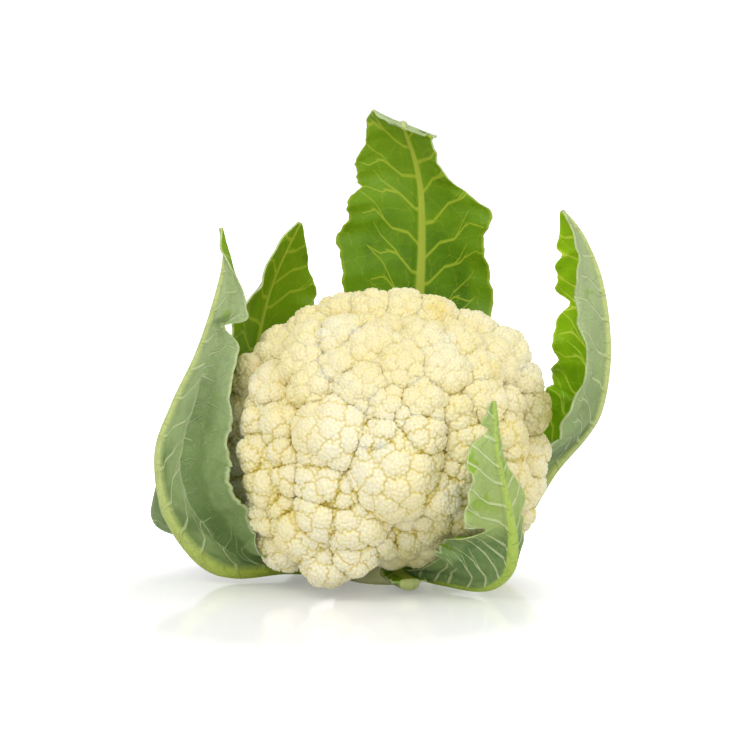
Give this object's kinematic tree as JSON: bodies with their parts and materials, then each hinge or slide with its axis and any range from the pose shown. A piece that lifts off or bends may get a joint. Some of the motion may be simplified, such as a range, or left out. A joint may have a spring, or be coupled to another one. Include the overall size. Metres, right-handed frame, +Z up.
{
  "type": "cauliflower",
  "caption": "Whole cauliflower with its outer leaves, a domed cream curd of branching florets that stands on its cut stem",
  "frame": {"origin": "centre of the flat cut face of the stem, on the surface that the cauliflower stands on", "axes": "+Z up from the surface, -Y towards the side that the curd leans to, +X to the right as seen from that side"},
  "size_m": [0.2281, 0.1893, 0.2274],
  "materials": {
    "curd": "matte, finely grained, cream white",
    "stem": "smooth, pale green, dull at the cut",
    "leaf": "satin green with pale midrib and veins, waxy grey green outside"
  },
  "bodies": {
    "root": {"curd": "curd", "stem": "stem", "leaf_left": "leaf", "leaf_left_back": "leaf", "leaf_back": "leaf", "leaf_right": "leaf", "leaf_front": "leaf", "stalk_stub": "stem"}
  },
  "joints": []
}
